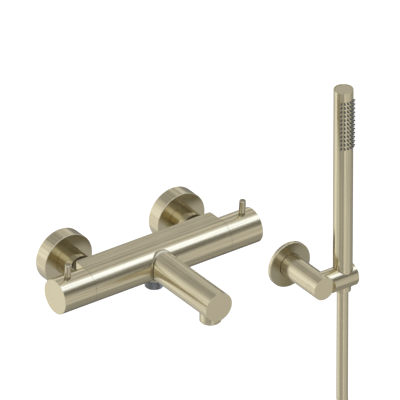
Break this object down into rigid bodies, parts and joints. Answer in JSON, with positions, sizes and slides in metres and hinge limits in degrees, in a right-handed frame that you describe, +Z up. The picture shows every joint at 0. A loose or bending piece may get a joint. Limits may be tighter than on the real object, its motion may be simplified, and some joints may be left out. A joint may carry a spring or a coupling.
{
  "type": "bath shower mixer",
  "caption": "Wall-mounted thermostatic bar mixer with a bath spout, lever handles, a stick handset in its wall bracket and a coiled hose.",
  "frame": {"origin": "on the wall plane, midway between the two water inlets", "axes": "+Y into the wall along the inlets, +X to the right along the wall, +Z up"},
  "size_m": [0.4779, 0.2055, 0.5915],
  "materials": {
    "brushed_champagne_brass": "brushed champagne-gold plating on brass",
    "raw_brass": "machined, unplated",
    "nickel": "satin nickel, dark",
    "steel": "zinc-plated steel",
    "grey_silicone": "soft silicone",
    "black_rubber": "moulded rubber",
    "white_plastic": "moulded acetal",
    "grey_plastic": "moulded polyamide",
    "ceramic": "polished ceramic",
    "hose_skin": "smooth satin champagne-gold hose skin"
  },
  "bodies": {
    "mixer": {"mixer_body": "brushed_champagne_brass", "left_wall_connector": "raw_brass", "right_wall_connector": "raw_brass", "left_union_nut": "brushed_champagne_brass", "right_union_nut": "brushed_champagne_brass", "left_rosette": "brushed_champagne_brass", "right_rosette": "brushed_champagne_brass", "union_washers": "black_rubber", "inlet_check_valves": "white_plastic", "spout_tube": "brushed_champagne_brass", "spout_collar": "brushed_champagne_brass", "spout_connector": "raw_brass", "spout_seal": "black_rubber", "aerator_housing": "brushed_champagne_brass", "aerator_insert": "grey_plastic", "aerator_washer": "black_rubber", "shower_outlet_nipple": "nickel", "outlet_check_valve": "white_plastic", "flow_retaining_nut": "raw_brass", "flow_cartridge_housing": "raw_brass", "fixed_ceramic_disc": "ceramic", "temperature_retaining_nut": "raw_brass", "temperature_cartridge_housing": "raw_brass", "return_spring": "steel", "bracket_wall_plate": "steel", "bracket_rosette": "brushed_champagne_brass", "bracket_arm": "brushed_champagne_brass", "arm_plug": "brushed_champagne_brass", "arm_grub_screw": "steel", "handset_holder": "brushed_champagne_brass", "holder_bolt": "steel", "holder_seat_ring": "white_plastic"},
    "flow_control": {"flow_handle": "brushed_champagne_brass", "flow_lever": "brushed_champagne_brass", "flow_grub_screw": "steel", "flow_spindle": "raw_brass", "moving_ceramic_disc": "ceramic", "disc_carrier": "white_plastic"},
    "temperature_control": {"temperature_handle": "brushed_champagne_brass", "temperature_lever": "brushed_champagne_brass", "temperature_grub_screw": "steel", "temperature_spindle": "raw_brass"},
    "thermostat_regulator": {"regulating_sleeve": "white_plastic", "wax_element": "raw_brass"},
    "hose": {"hose_slim_ferrule": "raw_brass", "hose_run": "hose_skin", "hose_coil": "hose_skin", "hose_tie": "black_rubber", "hose_end_ferrule": "raw_brass", "hose_washers": "black_rubber"},
    "handset": {"handset_tube": "brushed_champagne_brass", "handset_cap": "brushed_champagne_brass", "nozzle_strip": "grey_silicone", "handset_core": "white_plastic", "handset_inlet": "raw_brass", "hose_slim_nut": "brushed_champagne_brass"},
    "hose_nut": {"hose_end_nut": "brushed_champagne_brass"}
  },
  "joints": [
    {"name": "flow_turn", "type": "hinge", "parent": "mixer", "child": "flow_control", "pos_m": [-0.0904, -0.0715, 0], "axis": [1, 0, 0], "range_deg": [-90, 90]},
    {"name": "temperature_turn", "type": "hinge", "parent": "mixer", "child": "temperature_control", "pos_m": [0.0904, -0.0715, 0], "axis": [1, 0, 0], "range_deg": [-140, 50]},
    {"name": "regulator_shift", "type": "slide", "parent": "mixer", "child": "thermostat_regulator", "axis": [1, 0, 0], "range_m": [-0.00125, 0.0006]},
    {"name": "handset_lift", "type": "slide", "parent": "mixer", "child": "hose", "axis": [0, 0, 1], "range_m": [0, 0.06]},
    {"name": "handset_spin", "type": "hinge", "parent": "hose", "child": "handset", "pos_m": [0.2633, -0.0575, -0.13], "axis": [0, 0, 1], "range_deg": [-180, 180]},
    {"name": "hose_nut_spin", "type": "hinge", "parent": "hose", "child": "hose_nut", "pos_m": [0.33454, -0.10063, -0.45765], "axis": [0, 0, 1], "range_deg": [-180, 180]}
  ],
  "couplings": [
    {"joint": "regulator_shift", "follows": "temperature_turn", "m_per_rad": 0.0004775}
  ]
}
